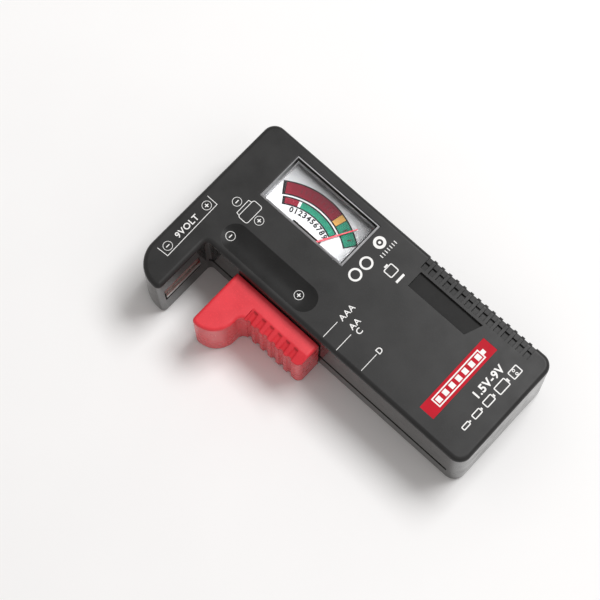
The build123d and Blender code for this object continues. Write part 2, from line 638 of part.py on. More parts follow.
with BuildPart() as upper_pivot:
    post(PIVOT_X, PIVOT_Y, POINTER_ROOT_Z + POINTER_THICKNESS, BRIDGE_Z[0] + 0.4, PIVOT_RADIUS)


# Pointer: a hub and root under the dial, a riser through the dial's slot, and a tapering hand above it
with BuildPart() as pointer:
    aim = Plane((PIVOT_X, PIVOT_Y, POINTER_ROOT_Z)).rotated((0, 0, -READING))
    with BuildSketch(aim):
        Circle(1.3)
        with Locations((0, POINTER_RISER / 2)):
            Rectangle(0.7, POINTER_RISER + 0.3)
        with Locations((0, -2.6)):
            Rectangle(0.6, 5.2)
    extrude(amount=POINTER_THICKNESS)
    with BuildSketch(aim):
        with Locations((0, POINTER_RISER)):
            Rectangle(0.45, 0.3)
    extrude(amount=POINTER_Z - POINTER_ROOT_Z + POINTER_THICKNESS)
    with BuildSketch(aim.offset(POINTER_Z - POINTER_ROOT_Z)):
        with BuildLine():
            Polyline(
                (-0.3, POINTER_RISER - 0.15), (0.3, POINTER_RISER - 0.15),
                (0.12, POINTER_LENGTH), (-0.12, POINTER_LENGTH), close=True,
            )
        make_face()
    extrude(amount=POINTER_THICKNESS)


with BuildPart() as pointer_counterweight:
    tail = Plane((PIVOT_X, PIVOT_Y, POINTER_ROOT_Z)).rotated((0, 0, -READING))
    with BuildSketch(tail.offset(-0.35)):
        with Locations((0, -4.6)):
            Circle(0.75)
    extrude(amount=0.35)


# Dial plate: rests on the tray, with a slot for the riser along the window's lower edge
with BuildPart() as dial_plate:
    slab(TRAY_LEFT + 0.3, TRAY_RIGHT - 0.3, TRAY_FRONT + 0.3, TRAY_BACK - 0.3, DIAL_BOTTOM, DIAL_TOP)
    slab(*DIAL_SLOT, DIAL_BOTTOM - 1, DIAL_TOP + 1, Mode.SUBTRACT)


# Meter window: a clear cap with bevelled top edges, clamped by its flange under the top wall
with BuildPart() as meter_window:
    slab(
        WINDOW_LEFT + WINDOW_GAP, WINDOW_RIGHT - WINDOW_GAP,
        WINDOW_LOW + WINDOW_GAP, WINDOW_HIGH - WINDOW_GAP,
        DIAL_TOP, WINDOW_TOP,
    )
    chamfer(faces().sort_by(Axis.Z)[-1].edges(), WINDOW_BEVEL)
    slab(
        WINDOW_LEFT - FLANGE, WINDOW_RIGHT + FLANGE, WINDOW_LOW - FLANGE, WINDOW_HIGH + FLANGE,
        DIAL_TOP, FLANGE_TOP,
    )
    slab(
        WINDOW_LEFT + WINDOW_THICKNESS, WINDOW_RIGHT - WINDOW_THICKNESS,
        WINDOW_LOW - 0.6, WINDOW_HIGH - WINDOW_THICKNESS,
        DIAL_TOP - 1, WINDOW_TOP - WINDOW_THICKNESS, Mode.SUBTRACT,
    )


# ---- Load resistor board, on two standoffs in the rear cover ----------------------------------------
with BuildPart() as circuit_board:
    slab(*BOARD, BOARD_BOTTOM, BOARD_TOP)
    for x, y in BOARD_SCREWS:
        post(x, y, BOARD_BOTTOM, BOARD_TOP, BOARD_SCREW_RADIUS + 0.15, Mode.SUBTRACT)


with BuildPart() as board_screws:
    for x, y in BOARD_SCREWS:
        post(x, y, BOARD_TOP, BOARD_TOP + 1.0, 1.7)
        post(x, y, BOARD_BOTTOM - 1.6, BOARD_TOP, BOARD_SCREW_RADIUS)


def resistor(x, y, radius, length):
    """A resistor lying along X on the board, with both leads bent down to its pads."""
    height = BOARD_TOP + radius + 0.1
    with Locations((x, y, height)):
        Cylinder(radius, length, rotation=(0, 90, 0))
        Cylinder(0.3, length + 3.0, rotation=(0, 90, 0))
    for end in (-1, 1):
        post(x + end * (length + 2.4) / 2, y, BOARD_TOP, height, 0.28)


with BuildPart() as nine_volt_load_resistor:
    resistor(LEFT + 77.0, FRONT + 17.0, 1.7, 9.0)

with BuildPart() as cell_load_resistor:
    resistor(LEFT + 77.0, FRONT + 22.0, 1.3, 6.5)

with BuildPart() as meter_series_resistor:
    resistor(LEFT + 77.0, FRONT + 26.0, 1.1, 6.3)


def lug(x, y):
    """A solder lug clenched on the outside of the tray's right wall."""
    slab(x, x + 0.4, y - 1.2, y + 1.2, 14.0, 20.0)
    slab(x, x + 2.4, y - 1.2, y + 1.2, 14.0, 14.4)


with BuildPart() as meter_lug_positive:
    lug(TRAY_RIGHT, FRONT + 14.0)

with BuildPart() as meter_lug_negative:
    lug(TRAY_RIGHT, FRONT + 24.0)


# ---- Wires, from the contacts to the board and from the board to the meter --------------------------
def insulated_wire(*points):
    """A wire in the part being built, along a route given from the case's left and front walls."""
    with BuildLine() as route:
        wire_path(*[(LEFT + x, FRONT + y, z) for x, y, z in points])
    with BuildSketch(Plane(origin=route.line @ 0, z_dir=route.line % 0)) as section:
        Circle(WIRE_RADIUS)
    sweep(section.sketch, path=route.line)


with BuildPart() as wire_nine_volt_positive:
    insulated_wire(
        (2.76, 7.3, 3.6), (9.0, 8.4, 3.0), (16.0, 12.0, 2.8), (38.0, 14.2, 2.8), (54.0, 17.0, 3.4),
        (61.95, 18.2, 4.3),
    )

with BuildPart() as wire_cell_negative:
    insulated_wire(
        (8.5, -5.0, 3.6), (5.6, -2.2, 3.2), (9.2, 3.6, 3.0), (20.0, 8.6, 2.8), (45.0, 11.0, 2.8),
        (61.95, 14.6, 4.3),
    )

with BuildPart() as wire_spring_terminal:
    insulated_wire(
        (7.35, 5.4, 4.9), (13.0, 6.6, 4.6), (24.0, 13.0, 4.4), (48.0, 20.4, 4.4), (61.95, 22.0, 4.3),
    )

with BuildPart() as wire_meter_positive:
    insulated_wire(
        (48.3, 14.0, 13.95), (49.4, 14.6, 9.6), (55.0, 18.0, 8.2), (61.0, 19.6, 7.8), (64.0, 20.2, 5.4),
    )

with BuildPart() as wire_meter_negative:
    insulated_wire(
        (48.3, 24.0, 13.95), (49.4, 24.2, 9.6), (55.0, 24.6, 8.2), (61.0, 25.0, 7.8), (64.0, 25.4, 5.4),
    )


pieces = {
    "front_housing": front_housing,
    "rear_cover": rear_cover,
    "case_screws": case_screws,
    "label_plate": label_plate,
    "slider_knob": slider_knob,
    "slider_contact": slider_contact,
    "slider_carriage": slider_carriage,
    "carriage_screws": carriage_screws,
    "return_spring": return_spring,
    "spring_terminal": spring_terminal,
    "cell_negative_contact": cell_negative_contact,
    "nine_volt_positive_contact": nine_volt_positive_contact,
    "nine_volt_negative_contact": nine_volt_negative_contact,
    "meter_tray": meter_tray,
    "yoke_ring": yoke_ring,
    "core_magnet": core_magnet,
    "core_lugs": core_lugs,
    "lower_jewel": lower_jewel,
    "upper_bridge": upper_bridge,
    "upper_jewel": upper_jewel,
    "upper_hairspring": upper_hairspring,
    "lower_hairspring": lower_hairspring,
    "coil_former": coil_former,
    "coil_winding": coil_winding,
    "lower_pivot": lower_pivot,
    "upper_pivot": upper_pivot,
    "pointer": pointer,
    "pointer_counterweight": pointer_counterweight,
    "dial_plate": dial_plate,
    "meter_window": meter_window,
    "circuit_board": circuit_board,
    "board_screws": board_screws,
    "nine_volt_load_resistor": nine_volt_load_resistor,
    "cell_load_resistor": cell_load_resistor,
    "meter_series_resistor": meter_series_resistor,
    "meter_lug_positive": meter_lug_positive,
    "meter_lug_negative": meter_lug_negative,
    "wire_nine_volt_positive": wire_nine_volt_positive,
    "wire_cell_negative": wire_cell_negative,
    "wire_spring_terminal": wire_spring_terminal,
    "wire_meter_positive": wire_meter_positive,
    "wire_meter_negative": wire_meter_negative,
}

os.makedirs("parts", exist_ok=True)
for name, piece in pieces.items():
    piece.part.label = name
    export_step(piece.part, f"parts/{name}.step")
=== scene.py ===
import bmesh
import bpy
from math import cos, radians, sin
from mathutils import Matrix, Vector
from mathutils.bvhtree import BVHTree


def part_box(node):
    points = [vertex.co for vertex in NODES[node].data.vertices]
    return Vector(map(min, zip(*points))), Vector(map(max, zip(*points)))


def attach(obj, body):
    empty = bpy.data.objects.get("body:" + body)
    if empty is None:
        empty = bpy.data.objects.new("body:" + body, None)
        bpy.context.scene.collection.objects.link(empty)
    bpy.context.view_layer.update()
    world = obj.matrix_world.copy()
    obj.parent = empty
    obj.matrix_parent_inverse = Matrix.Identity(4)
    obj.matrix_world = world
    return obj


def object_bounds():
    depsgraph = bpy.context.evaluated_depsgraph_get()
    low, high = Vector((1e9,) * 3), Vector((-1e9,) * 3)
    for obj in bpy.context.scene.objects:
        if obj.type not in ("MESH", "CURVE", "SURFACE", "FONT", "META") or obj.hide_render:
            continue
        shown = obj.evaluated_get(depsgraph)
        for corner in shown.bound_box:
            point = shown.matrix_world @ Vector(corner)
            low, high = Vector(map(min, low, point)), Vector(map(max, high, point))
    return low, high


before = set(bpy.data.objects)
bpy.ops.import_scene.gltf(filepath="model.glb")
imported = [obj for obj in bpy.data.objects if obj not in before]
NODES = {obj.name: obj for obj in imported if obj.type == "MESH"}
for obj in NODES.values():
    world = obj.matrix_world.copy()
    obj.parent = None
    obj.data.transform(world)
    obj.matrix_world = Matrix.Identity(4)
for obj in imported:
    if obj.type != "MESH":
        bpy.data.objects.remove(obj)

# Analogue battery tester: looks, printing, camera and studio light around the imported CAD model.
# Places on the top face are given in millimetres: "along" from the left end, "up" from the front wall.

MM = 0.001
cad_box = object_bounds()

# The 9 V arm stands out from the front wall, and the drafted ends lean outwards below the top face
ARM_REACH = 20.5 * MM
TOP_LENGTH = 110.0 * MM
case_low, case_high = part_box("front_housing")
LEFT = (case_low.x + case_high.x - TOP_LENGTH) / 2
FRONT = case_low.y + ARM_REACH
FACE = case_high.z
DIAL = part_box("dial_plate")[1].z


def spot(along, up):
    """A place on the plan, from millimetres along the case and up from its front wall."""
    return Vector((LEFT + along * MM, FRONT + up * MM))


def ray(turn):
    """The direction that many degrees from +X."""
    return Vector((cos(radians(turn)), sin(radians(turn))))


# ---- Materials ---------------------------------------------------------------------------------


BEVEL_SAMPLES = 4
EDGE_COSINES = (0.86, 0.995)


class Finish:
    """One procedural material: a Principled shader and the textures that feed it."""

    def __init__(self, name, metallic=0.0):
        self.material = bpy.data.materials.new(name)
        self.material.use_nodes = True
        self.tree = self.material.node_tree
        self.shader = self.tree.nodes["Principled BSDF"]
        self.shader.inputs["Metallic"].default_value = metallic
        self.place = self.tree.nodes.new("ShaderNodeTexCoord").outputs["Object"]
        self.normal = None

    def node(self, kind, **values):
        """A new texture or shader node with those settings."""
        made = self.tree.nodes.new(kind)
        for key, value in values.items():
            setattr(made, key, value)
        return made

    def link(self, source, target):
        """Joins an output socket to an input socket."""
        self.tree.links.new(source, target)

    def noise(self, size, detail=2.0, stretch=(1.0, 1.0, 1.0)):
        """Noise with features about size millimetres across, longer along the axes stretched most."""
        mapping = self.node("ShaderNodeMapping")
        mapping.inputs["Scale"].default_value = [1.0 / (size * MM * s) for s in stretch]
        self.link(self.place, mapping.inputs["Vector"])
        texture = self.node("ShaderNodeTexNoise")
        texture.inputs["Scale"].default_value = 1.0
        texture.inputs["Detail"].default_value = detail
        self.link(mapping.outputs["Vector"], texture.inputs["Vector"])
        return texture.outputs["Fac"]

    def spread(self, socket, low, high, start=0.35, end=0.65):
        """Maps a socket's start to end onto low to high."""
        ranged = self.node("ShaderNodeMapRange", clamp=True)
        ranged.inputs["From Min"].default_value = start
        ranged.inputs["From Max"].default_value = end
        ranged.inputs["To Min"].default_value = low
        ranged.inputs["To Max"].default_value = high
        self.link(socket, ranged.inputs["Value"])
        return ranged.outputs["Result"]

    def mix(self, factor, low, high):
        """A colour between low and high; each is a colour or a socket."""
        mixed = self.node("ShaderNodeMix", data_type="RGBA")
        self.link(factor, mixed.inputs["Factor"])
        for name, value in (("A", low), ("B", high)):
            socket = next(s for s in mixed.inputs if s.name == name and s.type == "RGBA")
            if isinstance(value, bpy.types.NodeSocket):
                self.link(value, socket)
            else:
                socket.default_value = (*value, 1.0)
        return next(s for s in mixed.outputs if s.type == "RGBA")

    def shaded(self, socket, zone):
        """Paints shade into a colour: darkens it towards the high x and high y sides of a zone on the plan.
        """
        parts = self.node("ShaderNodeSeparateXYZ")
        self.link(self.place, parts.inputs[0])
        for axis, start, end, least in zone:
            factor = self.spread(parts.outputs[axis], 1.0, least, start, end)
            dimmed = self.node("ShaderNodeVectorMath", operation="SCALE")
            self.link(socket, dimmed.inputs[0])
            self.link(factor, dimmed.inputs["Scale"])
            socket = dimmed.outputs[0]
        return socket

    def colour(self, socket):
        """Takes the base colour from a socket."""
        self.link(socket, self.shader.inputs["Base Color"])

    def roughness(self, low, high, size, stretch=(1.0, 1.0, 1.0)):
        """Roughness that varies from low to high in patches of that size in millimetres."""
        source = self.spread(self.noise(size, 3.0, stretch), low, high)
        self.link(source, self.shader.inputs["Roughness"])

    def bump(self, size, height, detail=1.0, stretch=(1.0, 1.0, 1.0)):
        """Relief of that height in millimetres, added to any relief already there."""
        made = self.node("ShaderNodeBump")
        made.inputs["Strength"].default_value = 1.0
        made.inputs["Distance"].default_value = height * MM
        self.link(self.noise(size, detail, stretch), made.inputs["Height"])
        if self.normal is not None:
            self.link(self.normal, made.inputs["Normal"])
        self.normal = made.outputs["Normal"]
        self.link(self.normal, self.shader.inputs["Normal"])

    def soften(self, radius):
        """Rounds the look of sharp edges to a radius in millimetres; call it before any bump."""
        soft = self.node("ShaderNodeBevel", samples=BEVEL_SAMPLES)
        soft.inputs["Radius"].default_value = radius * MM
        self.normal = soft.outputs["Normal"]

    def edges(self, radius):
        """1 on rounded and sharp edges, 0 on flat faces."""
        soft = self.node("ShaderNodeBevel", samples=BEVEL_SAMPLES)
        soft.inputs["Radius"].default_value = radius * MM
        plain = self.node("ShaderNodeNewGeometry")
        dot = self.node("ShaderNodeVectorMath", operation="DOT_PRODUCT")
        self.link(soft.outputs["Normal"], dot.inputs[0])
        self.link(plain.outputs["Normal"], dot.inputs[1])
        return self.spread(dot.outputs["Value"], 1.0, 0.0, *EDGE_COSINES)

    def set(self, **values):
        """Sets shader sockets that are the same all over the surface."""
        for key, value in values.items():
            self.shader.inputs[key.replace("_", " ")].default_value = value


# Sizes and heights in millimetres of what varies over a finish
FLOW_MARKS = 9.0
EDGE_WEAR = 0.5
RUBBED_PATCHES = 3.0
SHEEN_PATCHES = 5.0
SINK_MARKS, SINK_DEPTH = 14.0, 0.02
TARNISH = 2.5
DRAWN_DEPTH = 0.0015
ORANGE_PEEL, PEEL_DEPTH = 0.3, 0.003
CARD_MOTTLE, CARD_SHEEN = 1.5, 2.0
WINDOW_SHEEN, WINDOW_WAVES, WAVE_DEPTH = 8.0, 18.0, 0.02


def moulded(name, dark, light, rough, grain=0.32, relief=0.005, shine=0.5, edge=0.2):
    """Moulded plastic: fine spark-eroded grain, faint flow mottling and edges rubbed paler."""
    made = Finish(name)
    made.set(Specular_IOR_Level=shine)
    made.soften(edge)
    mottle = made.mix(made.spread(made.noise(FLOW_MARKS, 4.0), 0.0, 1.0), dark, light)
    speck = made.spread(made.noise(grain * 1.4, 1.0), 0.0, 0.35, 0.52, 0.72)
    flecked = made.mix(speck, mottle, [c * 1.15 for c in light])
    rubbed = [min(1.0, c * 1.5 + 0.004) for c in light]
    wear = made.node("ShaderNodeMath", operation="MULTIPLY")
    made.link(made.edges(EDGE_WEAR), wear.inputs[0])
    made.link(made.spread(made.noise(RUBBED_PATCHES, 4.0), 0.0, 0.6), wear.inputs[1])
    made.colour(made.mix(wear.outputs[0], flecked, rubbed))
    made.roughness(rough - 0.05, rough + 0.05, SHEEN_PATCHES)
    made.bump(grain, relief)
    made.bump(SINK_MARKS, SINK_DEPTH, 0.0)
    return made


def metal(name, dark, light, rough, brushed=(12.0, 1.0, 1.0), size=0.25):
    """Bare or plated metal with fine drawn lines and a little tarnish."""
    made = Finish(name, metallic=1.0)
    made.colour(made.mix(made.spread(made.noise(TARNISH, 4.0), 0.0, 1.0), dark, light))
    made.roughness(rough - 0.07, rough + 0.1, size, brushed)
    made.bump(size, DRAWN_DEPTH, 2.0, brushed)
    return made


def painted(name, dark, light, rough, size=4.0, shine=0.3):
    """Paint, lacquer or printing ink with slight unevenness."""
    made = Finish(name)
    made.set(Specular_IOR_Level=shine)
    made.colour(made.mix(made.spread(made.noise(size, 3.0), 0.0, 1.0), dark, light))
    made.roughness(rough - 0.05, rough + 0.06, size / 2)
    made.bump(ORANGE_PEEL, PEEL_DEPTH)
    return made


# The dial's painted shade, standing in for the shadow that the opening's back and right walls cast: where it
# starts and ends along each axis, and how much of the colour it leaves
PAINTED_DIAL_SHADE = (
    ("Y", FRONT + 27.0 * MM, FRONT + 36.0 * MM, 0.2),
    ("X", LEFT + 39.5 * MM, LEFT + 46.0 * MM, 0.38),
)


def dial_paint(name, dark, light):
    """Card or ink of the meter's dial, with painted shade at the back and right edges, where the opening's
    walls shadow it.
    """
    made = Finish(name)
    plain = made.mix(made.spread(made.noise(CARD_MOTTLE, 3.0), 0.0, 1.0), dark, light)
    made.set(Specular_IOR_Level=0.1)
    # painted shade: the colour is darkened towards the back and the right end of the dial
    made.colour(made.shaded(plain, PAINTED_DIAL_SHADE))
    made.roughness(0.42, 0.55, CARD_SHEEN)
    made.bump(ORANGE_PEEL, PEEL_DEPTH)
    return made


def clear(name):
    """Polished clear plastic that lets the lamps through to what is behind it."""
    made = Finish(name)
    made.set(Base_Color=(0.97, 0.98, 0.98, 1.0), Transmission_Weight=1.0, IOR=1.38)
    made.roughness(0.02, 0.07, WINDOW_SHEEN)
    made.bump(WINDOW_WAVES, WAVE_DEPTH, 0.0)
    passing = made.node("ShaderNodeBsdfTransparent")
    path = made.node("ShaderNodeLightPath")
    either = made.node("ShaderNodeMixShader")
    made.link(path.outputs["Is Shadow Ray"], either.inputs["Fac"])
    made.link(made.shader.outputs["BSDF"], either.inputs[1])
    made.link(passing.outputs["BSDF"], either.inputs[2])
    made.link(either.outputs["Shader"], made.tree.nodes["Material Output"].inputs["Surface"])
    return made


# Most finishes give a darker and a lighter colour, then a roughness; some add grain, relief or lines
FINISHES = {
    "black_abs": moulded("moulded_black", (0.021, 0.021, 0.021), (0.028, 0.028, 0.028), 0.36, shine=0.22),
    "polished_black": moulded(
        "polished_black", (0.018, 0.018, 0.018), (0.022, 0.022, 0.022), 0.3, 0.5, 0.001, shine=0.07
    ),
    "wall_black": moulded("satin_black", (0.024, 0.023, 0.022), (0.032, 0.031, 0.030), 0.17, 0.4, 0.0015),
    # The opening's walls get a lighter grey than the black moulding: painted light, standing in for light
    # thrown through the window's clear edges
    "edge_grey": moulded("grey_painted_light", (0.16, 0.16, 0.165), (0.20, 0.20, 0.205), 0.4, 0.4, 0.002, shine=0.3),
    "wall_red": moulded("satin_red", (0.64, 0.028, 0.040), (0.74, 0.042, 0.055), 0.26, 0.4, 0.002, edge=0.6),
    "tray_black": moulded("moulded_tray", (0.02, 0.02, 0.021), (0.03, 0.03, 0.031), 0.55),
    "red_abs": moulded("moulded_red", (0.68, 0.028, 0.042), (0.78, 0.042, 0.058), 0.38, shine=0.4, edge=0.6),
    "red_print": painted("printed_red", (0.46, 0.004, 0.016), (0.52, 0.006, 0.022), 0.5, shine=0.12),
    "white_ink": painted("white_ink", (0.80, 0.80, 0.79), (0.90, 0.90, 0.89), 0.5, 1.5),
    "clear_plastic": clear("clear_window"),
    "frosted_edge": painted("frosted_edge", (0.40, 0.40, 0.41), (0.50, 0.50, 0.51), 0.4, 2.0),
    # The dial's paper and inks all carry painted shade towards the back and right edges
    "dial_white": dial_paint("dial_paper", (0.68, 0.68, 0.70), (0.72, 0.72, 0.735)),
    "dial_black": dial_paint("dial_ink_black", (0.008, 0.008, 0.010), (0.014, 0.014, 0.016)),
    "dial_shade": dial_paint("dial_ink_shade", (0.09, 0.012, 0.022), (0.12, 0.018, 0.03)),
    "dial_red": dial_paint("dial_ink_red", (0.19, 0.006, 0.02), (0.23, 0.009, 0.028)),
    "dial_orange": dial_paint("dial_ink_orange", (0.60, 0.33, 0.08), (0.68, 0.38, 0.10)),
    "dial_green": dial_paint("dial_ink_green", (0.012, 0.19, 0.12), (0.02, 0.24, 0.15)),
    "pointer_red": painted("pointer_paint", (0.72, 0.05, 0.08), (0.82, 0.08, 0.11), 0.4, 1.0),
    "nickel": metal("nickel_plate", (0.62, 0.61, 0.58), (0.76, 0.75, 0.72), 0.26, (1.0, 14.0, 1.0)),
    "steel": metal("plain_steel", (0.42, 0.43, 0.45), (0.56, 0.57, 0.59), 0.32),
    "brass": metal("plain_brass", (0.60, 0.44, 0.18), (0.78, 0.62, 0.30), 0.3),
    "copper_winding": metal("enamelled_copper", (0.50, 0.17, 0.07), (0.72, 0.30, 0.14), 0.3),
    "aluminium": metal("bare_aluminium", (0.68, 0.68, 0.69), (0.80, 0.80, 0.81), 0.34),
    "ferrite": metal("ground_ferrite", (0.09, 0.09, 0.10), (0.15, 0.15, 0.16), 0.5),
    "white_nylon": moulded("moulded_nylon", (0.66, 0.66, 0.62), (0.74, 0.74, 0.70), 0.4),
    "board_laminate": painted("paper_laminate", (0.30, 0.19, 0.06), (0.42, 0.28, 0.11), 0.5, 1.5),
    "resistor_body": painted("resistor_lacquer", (0.50, 0.36, 0.20), (0.62, 0.48, 0.30), 0.35, 2.0),
    "red_insulation": painted("wire_red", (0.50, 0.02, 0.02), (0.6, 0.035, 0.03), 0.4, 2.0),
    "black_insulation": painted("wire_black", (0.02, 0.02, 0.02), (0.035, 0.035, 0.035), 0.42, 2.0),
}


def paint(node, finish):
    """Gives a CAD node or a piece its procedural material."""
    mesh = node.data
    mesh.materials.clear()
    mesh.materials.append(FINISHES[finish].material)


# Zones on the plan, each from its low corner to its high one
CRADLE = (spot(12.0, 1.5), spot(49.0, 11.2))
THUMB_RECESS = (spot(63.2, 29.2), spot(87.8, 35.5))
METER_OPENING = (spot(12.5, 20.2), spot(46.3, 38.2))

# Depths below the top face, and how far a wall's or a rim's normal may lean towards the vertical
RECESS_FLOOR = 1.0 * MM
RECESS_EDGE = 0.004 * MM
WALL_TOP = 1.6 * MM
RIM_DEPTH = 0.6 * MM
WALL_TILT = 0.2
RIM_TILT = 0.95


def within(face, zone):
    """Whether the middle of a face lies in a zone on the plan."""
    low, high = zone
    at = face.center
    return low.x < at.x < high.x and low.y < at.y < high.y


def in_recess(face):
    """Whether a face lies just below the top face, in the cradle or in the thumb recess."""
    below = FACE - RECESS_FLOOR < face.center.z < FACE - RECESS_EDGE
    return below and (within(face, CRADLE) or within(face, THUMB_RECESS))


def in_opening(face):
    """Whether a face is part of the upright edge of the meter's opening."""
    return within(face, METER_OPENING) and abs(face.normal.z) < WALL_TILT


def on_bevel(face):
    """Whether a face is part of the sloping rim of the meter's window."""
    return face.center.z > FACE - RIM_DEPTH and WALL_TILT < abs(face.normal.z) < RIM_TILT


def on_wall(face):
    """Whether a face is part of an upright wall."""
    return face.center.z < FACE - WALL_TOP and abs(face.normal.z) < WALL_TILT


def refinish(node, finish, chosen):
    """Gives those faces of a CAD node that pass a test another finish."""
    mesh = NODES[node].data
    mesh.materials.append(FINISHES[finish].material)
    for face in mesh.polygons:
        if chosen(face):
            face.material_index = len(mesh.materials) - 1


for part in NODES.values():
    paint(part, part.material_slots[0].material.name.split(".")[0])
paint(NODES["meter_tray"], "tray_black")
refinish("front_housing", "polished_black", in_recess)
refinish("front_housing", "wall_black", on_wall)
# painted light: the meter opening's upright walls are made lighter grey than the black moulding
refinish("front_housing", "edge_grey", in_opening)
refinish("meter_window", "frosted_edge", in_opening)
refinish("meter_window", "frosted_edge", on_bevel)
refinish("rear_cover", "wall_black", on_wall)
refinish("slider_knob", "wall_red", on_wall)


# ---- Printing ------------------------------------------------------------------------------------


# A printed sheet's height over its surface and depth below it, and the step of its curves in degrees
INK = 0.03 * MM
SINK = 0.01 * MM
ARC_STEP = 4.0
MITRE_LIMIT = 0.4
PINHOLE = 0.02
CAPITAL_SHARE = 0.72
FONT_STEPS = 4
DROP_HEIGHT = 5 * MM
DOWN = Vector((0, 0, -1))


class Ink:
    """Printed shapes, gathered into one thin solid sheet that lies on a surface."""

    def __init__(self, level):
        self.mesh = bmesh.new()
        self.level = level

    def solid(self, left, right, closed=False):
        """A thin strip between two lines of points that run side by side."""
        rows = []
        for height in (self.level - SINK, self.level + INK):
            rows.append([[self.mesh.verts.new((p.x, p.y, height)) for p in line] for line in (left, right)])
        (low_left, low_right), (top_left, top_right) = rows
        count = len(left)
        for i in range(count if closed else count - 1):
            j = (i + 1) % count
            for quad in (
                (top_left[i], top_left[j], top_right[j], top_right[i]),
                (low_left[i], low_right[i], low_right[j], low_left[j]),
                (low_left[i], low_left[j], top_left[j], top_left[i]),
                (low_right[i], top_right[i], top_right[j], low_right[j]),
            ):
                self.mesh.faces.new(quad)
        if not closed:
            self.mesh.faces.new((low_left[0], top_left[0], top_right[0], low_right[0]))
            self.mesh.faces.new((low_left[-1], low_right[-1], top_right[-1], top_left[-1]))

    def stroke(self, points, width, closed=False):
        """A line of that width in millimetres through points, mitred at its corners."""
        half = width * MM / 2
        count = len(points)
        left, right = [], []
        for i, point in enumerate(points):
            before = points[i - 1] if i or closed else point
            after = points[(i + 1) % count] if i + 1 < count or closed else point
            arriving = (point - before).normalized() if point != before else (after - point).normalized()
            leaving = (after - point).normalized() if after != point else arriving
            bisector = (arriving + leaving).normalized()
            side = Vector((-bisector.y, bisector.x))
            reach = half / max(MITRE_LIMIT, side.dot(Vector((-leaving.y, leaving.x))))
            left.append(point + side * reach)
            right.append(point - side * reach)
        self.solid(left, right, closed)

    def sector(self, centre, inner, outer, start=0.0, end=360.0):
        """Part of a ring between two radii in millimetres and two angles in degrees from +X."""
        closed = end - start >= 360.0
        steps = max(2, round((end - start) / ARC_STEP))
        rays = [ray(start + (end - start) * i / steps) for i in range(steps + (not closed))]
        self.solid([centre + r * inner * MM for r in rays], [centre + r * outer * MM for r in rays], closed)

    def ring(self, centre, radius, width):
        """A ring; its radius, to the middle of its line, and the line's width in millimetres."""
        self.sector(centre, radius - width / 2, radius + width / 2)

    def disc(self, centre, radius):
        """A disc with a pinhole at its centre."""
        self.sector(centre, radius * PINHOLE, radius)

    def text(self, words, start, height, turn=90.0, spacing=1.0, weight=0.0):
        """Lettering whose baseline starts there and runs that many degrees from +X."""
        curve = bpy.data.curves.new("lettering", "FONT")
        curve.body = words
        curve.size = height * MM / CAPITAL_SHARE
        curve.space_character = spacing
        curve.offset = weight * MM
        curve.extrude = (INK + SINK) / 2
        curve.resolution_u = FONT_STEPS
        letters = bpy.data.objects.new("lettering", curve)
        flat = bpy.data.meshes.new_from_object(letters)
        place = Matrix.Translation((start.x, start.y, self.level + (INK - SINK) / 2))
        flat.transform(place @ Matrix.Rotation(radians(turn), 4, "Z"))
        self.mesh.from_mesh(flat)
        bpy.data.objects.remove(letters)
        bpy.data.curves.remove(curve)
        bpy.data.meshes.remove(flat)

    def drape(self, node):
        """Lays the sheet on a CAD node's surface instead of on its flat level."""
        mesh = NODES[node].data
        surface = BVHTree.FromPolygons([v.co for v in mesh.vertices], [p.vertices for p in mesh.polygons])
        for vertex in self.mesh.verts:
            above = Vector((vertex.co.x, vertex.co.y, self.level + DROP_HEIGHT))
            hit = surface.ray_cast(above, DOWN)[0]
            vertex.co.z += hit.z - self.level

    def finish(self, name, ink, body="case", slot="black_abs"):
        """Turns the sheet into a piece with a material and the body that it rides on; the slot argument is
        not used.
        """
        mesh = bpy.data.meshes.new(name)
        bmesh.ops.recalc_face_normals(self.mesh, faces=self.mesh.faces)
        self.mesh.to_mesh(mesh)
        self.mesh.free()
        piece = bpy.data.objects.new(name, mesh)
        bpy.context.scene.collection.objects.link(piece)
        paint(piece, ink)
        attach(piece, body)


# Places along and up, sizes and widths of lines, all in millimetres
LINE = 0.2
PICTURE_LINE = 0.34
SIGN_RADIUS = 1.4
SIGN_LINE = 0.15
SIGN_ARM = 0.65
SIGN_STROKE = 0.3


def sign(ink, centre, positive):
    """A polarity sign in a ring."""
    ink.ring(centre, SIGN_RADIUS, SIGN_LINE)
    ink.stroke([centre + Vector((0, y * SIGN_ARM * MM)) for y in (-1, 1)], SIGN_STROKE)
    if positive:
        for side in (-1, 1):
            reach = [side * x * MM for x in (SIGN_STROKE / 2, SIGN_ARM)]
            ink.stroke([centre + Vector((x, 0)) for x in reach], SIGN_STROKE)


def rounded_outline(ink, low, high, radius, width):
    """A rounded rectangle's outline between two corners, in millimetres along and up."""
    corners = (
        (high[0] - radius, high[1] - radius, 0),
        (low[0] + radius, high[1] - radius, 90),
        (low[0] + radius, low[1] + radius, 180),
        (high[0] - radius, low[1] + radius, 270),
    )
    points = []
    for along, up, start in corners:
        points += [spot(along, up) + ray(start + turn) * radius * MM for turn in (0, 30, 60, 90)]
    ink.stroke(points, width, closed=True)


# Each size line has its place along and its two ends; each letter group has where its baseline starts
SIZE_LINES = ((56.1, 1.5, 7.6), (61.5, 1.2, 7.5), (70.8, 1.6, 8.1))
SIZE_LETTERS = (("AAA", 57.1, 8.7), ("AA", 61.0, 8.7), ("C", 63.4, 8.9), ("D", 71.5, 8.5))
SIZE_HEIGHT = 1.9
BRACKET = ((2.2, 10.0), (6.1, 10.0), (6.5, -11.2), (2.6, -11.5))
BRACKET_LETTERS, BRACKET_HEIGHT = (5.2, -5.3), 2.0
FACE_SIGNS = ((4.1, 7.7, True), (4.4, -9.0, False), (9.8, 14.6, False), (18.6, 14.7, True))
CELL_LOW, CELL_HIGH, CELL_CORNER = (13.1, 11.5), (16.6, 18.3), 0.7
CELL_CAP = ((13.0, 17.4), (12.0, 17.2), (12.1, 12.1), (13.0, 11.9))


